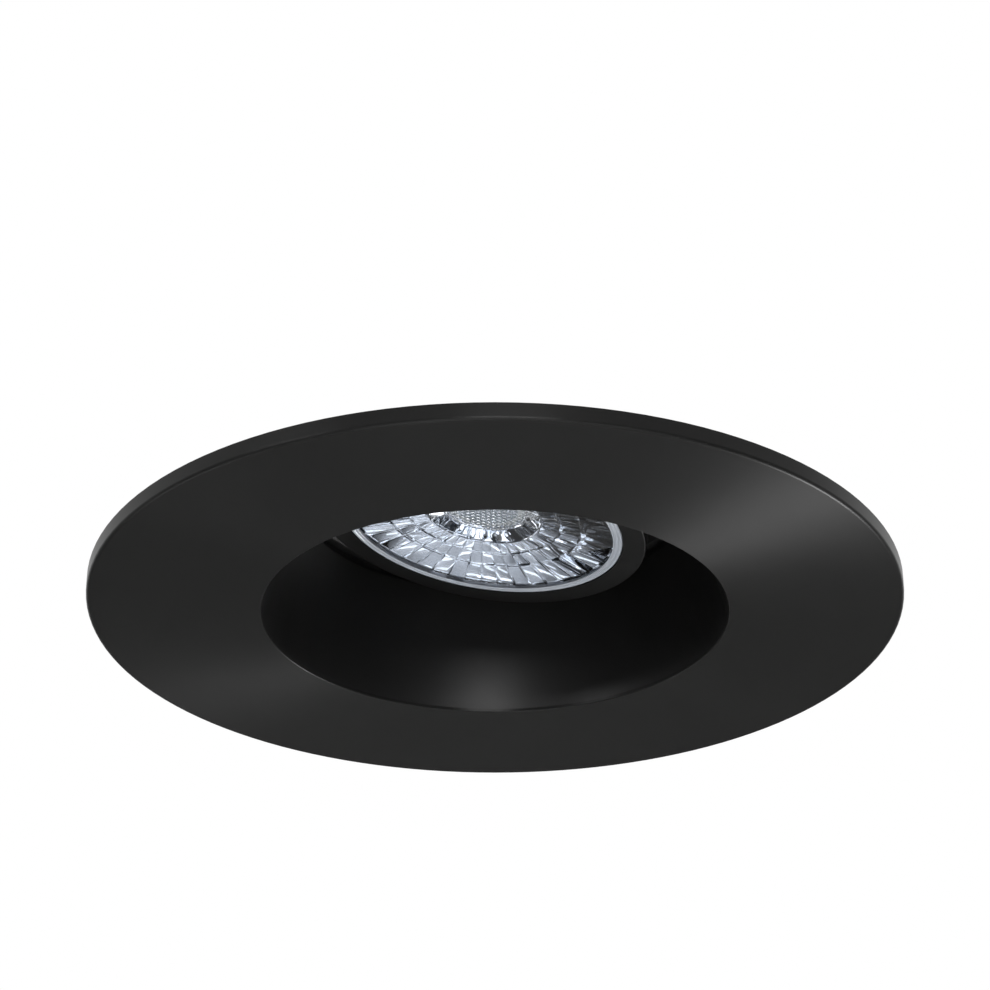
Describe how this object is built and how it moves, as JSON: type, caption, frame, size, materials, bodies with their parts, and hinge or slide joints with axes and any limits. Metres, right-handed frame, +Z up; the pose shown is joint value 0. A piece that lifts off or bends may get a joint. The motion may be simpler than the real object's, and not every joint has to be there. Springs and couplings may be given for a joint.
{
  "type": "soffit downlight",
  "caption": "Round recessed soffit downlight with a black baffle, a faceted lens in a tilting and swivelling lamp module, and sprung board clips.",
  "frame": {"origin": "centre of the flange's back face, which lies on the underside of the soffit board", "axes": "+Z up into the soffit void, the light leaves towards -Z; +X and -X point along the two board clips, and the tilt axis is parallel to Y"},
  "size_m": [0.1298, 0.12, 0.0495],
  "materials": {
    "trim_black": "satin black powder coat on cast aluminium",
    "baffle_black": "matt black paint on spun aluminium",
    "foam": "closed-cell foam rubber, dark grey",
    "cast_black": "black paint on cast aluminium",
    "zinc_steel": "zinc plated sheet steel",
    "gimbal_black": "black painted sheet steel",
    "screw_steel": "stainless steel",
    "bezel_black": "satin black anodised aluminium",
    "clear_optic": "clear moulded acrylic, polished",
    "silicone": "grey silicone rubber",
    "mirror_metal": "metallised, mirror bright",
    "phosphor": "yellow phosphor in silicone, satin",
    "board_ceramic": "white ceramic, satin",
    "pad_grey": "grey thermal pad, matt",
    "white_plastic": "white moulded plastic",
    "sink_black": "black anodised cast aluminium",
    "washer_plastic": "natural nylon",
    "gland_plastic": "black nylon, satin",
    "clip_rubber": "black rubber, matt",
    "spring_steel": "bright spring wire"
  },
  "bodies": {
    "root": {"trim_ring": "trim_black", "baffle_cone": "baffle_black", "soffit_gasket": "foam", "carrier_ring": "cast_black", "retainer_ring": "gimbal_black", "retainer_screws": "screw_steel", "clip_pin_right": "screw_steel", "clip_pin_left": "screw_steel", "clip_spring_right": "spring_steel", "clip_spring_left": "spring_steel"},
    "swivel": {"swivel_ring": "gimbal_black"},
    "module": {"front_bezel": "bezel_black", "bezel_screws": "screw_steel", "lens": "clear_optic", "lens_seal": "silicone", "reflector": "mirror_metal", "led_emitter": "phosphor", "led_board": "board_ceramic", "thermal_pad": "pad_grey", "led_holder": "white_plastic", "holder_screws": "screw_steel", "heat_sink": "sink_black", "pivot_screws": "screw_steel", "pivot_washers": "washer_plastic", "cable_gland": "gland_plastic", "gland_seal": "silicone", "gland_nut": "gland_plastic"},
    "clip_right": {"clip_arm_right": "zinc_steel", "clip_pad_right": "clip_rubber"},
    "clip_left": {"clip_arm_left": "zinc_steel", "clip_pad_left": "clip_rubber"}
  },
  "joints": [
    {"name": "swivel_turn", "type": "hinge", "parent": "root", "child": "swivel", "pos_m": [0, 0, 0.0195], "axis": [0, 0, 1], "range_deg": [-175, 175]},
    {"name": "module_tilt", "type": "hinge", "parent": "swivel", "child": "module", "pos_m": [0, 0, 0.0264], "axis": [0, 1, 0], "range_deg": [-9.28, 20.72]},
    {"name": "clip_right_swing", "type": "hinge", "parent": "root", "child": "clip_right", "pos_m": [0.04708, 0, 0.011], "axis": [0, -1, 0], "range_deg": [0, 95], "stiffness_Nm_per_rad": 0.02, "springref_deg": -68.75, "deforming": ["clip_spring_right"]},
    {"name": "clip_left_swing", "type": "hinge", "parent": "root", "child": "clip_left", "pos_m": [-0.04708, 0, 0.011], "axis": [0, 1, 0], "range_deg": [0, 95], "stiffness_Nm_per_rad": 0.02, "springref_deg": -68.75, "deforming": ["clip_spring_left"]}
  ]
}
